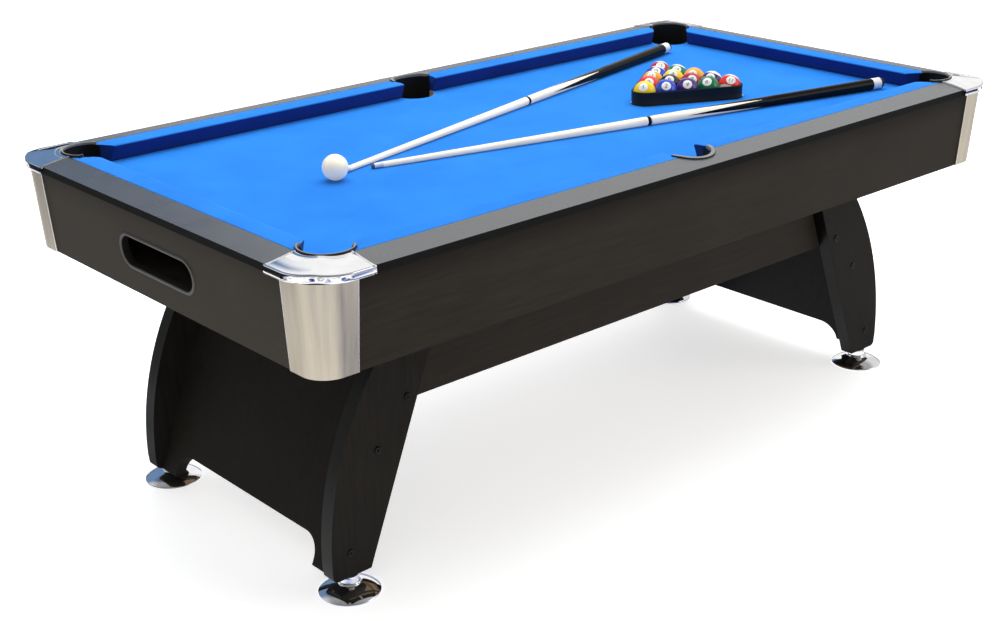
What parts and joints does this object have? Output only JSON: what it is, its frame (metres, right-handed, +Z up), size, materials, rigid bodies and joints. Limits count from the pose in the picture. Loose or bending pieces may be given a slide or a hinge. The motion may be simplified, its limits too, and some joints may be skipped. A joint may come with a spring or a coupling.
{
  "type": "pool table",
  "caption": "Home pool table with drop pockets, end ball return, dark cabinet on curved legs, chrome corners and levelling feet, with racked balls, cue ball and two cues on its blue cloth",
  "frame": {"origin": "on the floor under the middle of the table", "axes": "+X along the table towards the racked end, +Y towards the left side, +Z up"},
  "size_m": [2.148, 1.144, 0.8174],
  "materials": {
    "board": "raw fibreboard",
    "cloth": "napped wool blend",
    "rail_laminate": "grey laminate with a black edge band",
    "dark_laminate": "very dark brown laminate",
    "chrome": "bright plated",
    "satin_silver": "satin, brushed upright",
    "black_moulding": "moulded, slightly glossy",
    "steel": "zinc plated",
    "brass": "plain",
    "ivory_resin": "polished",
    "ball_resin": "polished, one colour for each number",
    "maple": "clear lacquer",
    "black_lacquer": "black lacquer"
  },
  "bodies": {
    "table": {"bed_board": "board", "bed_cloth": "cloth", "cushion_head": "cloth", "cushion_foot": "cloth", "cushion_left_head": "cloth", "cushion_left_foot": "cloth", "cushion_right_head": "cloth", "cushion_right_foot": "cloth", "rail_head": "rail_laminate", "rail_foot": "rail_laminate", "rail_left": "rail_laminate", "rail_right": "rail_laminate", "apron_head": "dark_laminate", "apron_foot": "dark_laminate", "apron_left": "dark_laminate", "apron_right": "dark_laminate", "corner_cap_head_left": "chrome", "corner_cap_head_right": "chrome", "corner_cap_foot_left": "chrome", "corner_cap_foot_right": "chrome", "corner_wrap_head_left": "satin_silver", "corner_wrap_head_right": "satin_silver", "corner_wrap_foot_left": "satin_silver", "corner_wrap_foot_right": "satin_silver", "pocket_head_left": "black_moulding", "pocket_head_right": "black_moulding", "pocket_foot_left": "black_moulding", "pocket_foot_right": "black_moulding", "pocket_side_left": "black_moulding", "pocket_side_right": "black_moulding", "return_bezel": "black_moulding", "return_tray": "black_moulding", "gutter_left": "black_moulding", "gutter_right": "black_moulding", "bed_supports": "board", "corner_blocks": "board", "leg_head_left": "dark_laminate", "leg_head_right": "dark_laminate", "leg_foot_left": "dark_laminate", "leg_foot_right": "dark_laminate", "leg_panel_head": "dark_laminate", "leg_panel_foot": "dark_laminate", "stretcher_left": "dark_laminate", "stretcher_right": "dark_laminate", "leg_bolts": "steel", "leveller_inserts": "brass"},
    "leveller_head_left_body": {"leveller_head_left": "chrome"},
    "leveller_head_right_body": {"leveller_head_right": "chrome"},
    "leveller_foot_left_body": {"leveller_foot_left": "chrome"},
    "leveller_foot_right_body": {"leveller_foot_right": "chrome"},
    "rack_body": {"rack": "black_moulding"},
    "cue_ball_body": {"cue_ball": "ivory_resin"},
    "racked_balls": {"solid_balls": "ball_resin", "striped_balls": "ball_resin"},
    "cue_1": {"cue_1_shaft": "maple", "cue_1_butt": "black_lacquer"},
    "cue_2": {"cue_2_shaft": "maple", "cue_2_butt": "black_lacquer"}
  },
  "joints": [
    {"name": "leveller_head_left_screw", "type": "slide", "parent": "table", "child": "leveller_head_left_body", "axis": [0, 0, 1], "range_m": [-0.02, 0]},
    {"name": "leveller_head_right_screw", "type": "slide", "parent": "table", "child": "leveller_head_right_body", "axis": [0, 0, 1], "range_m": [-0.02, 0]},
    {"name": "leveller_foot_left_screw", "type": "slide", "parent": "table", "child": "leveller_foot_left_body", "axis": [0, 0, 1], "range_m": [-0.02, 0]},
    {"name": "leveller_foot_right_screw", "type": "slide", "parent": "table", "child": "leveller_foot_right_body", "axis": [0, 0, 1], "range_m": [-0.02, 0]},
    {"name": "rack_lift", "type": "slide", "parent": "table", "child": "rack_body", "axis": [0, 0, 1], "range_m": [0, 0.3]},
    {"name": "cue_ball_lift", "type": "slide", "parent": "table", "child": "cue_ball_body", "axis": [0, 0, 1], "range_m": [0, 0.3]},
    {"name": "racked_balls_lift", "type": "slide", "parent": "table", "child": "racked_balls", "axis": [0, 0, 1], "range_m": [0, 0.2]},
    {"name": "cue_1_lift", "type": "slide", "parent": "table", "child": "cue_1", "axis": [0, 0, 1], "range_m": [0, 0.2]},
    {"name": "cue_2_lift", "type": "slide", "parent": "table", "child": "cue_2", "axis": [0, 0, 1], "range_m": [0, 0.2]}
  ]
}
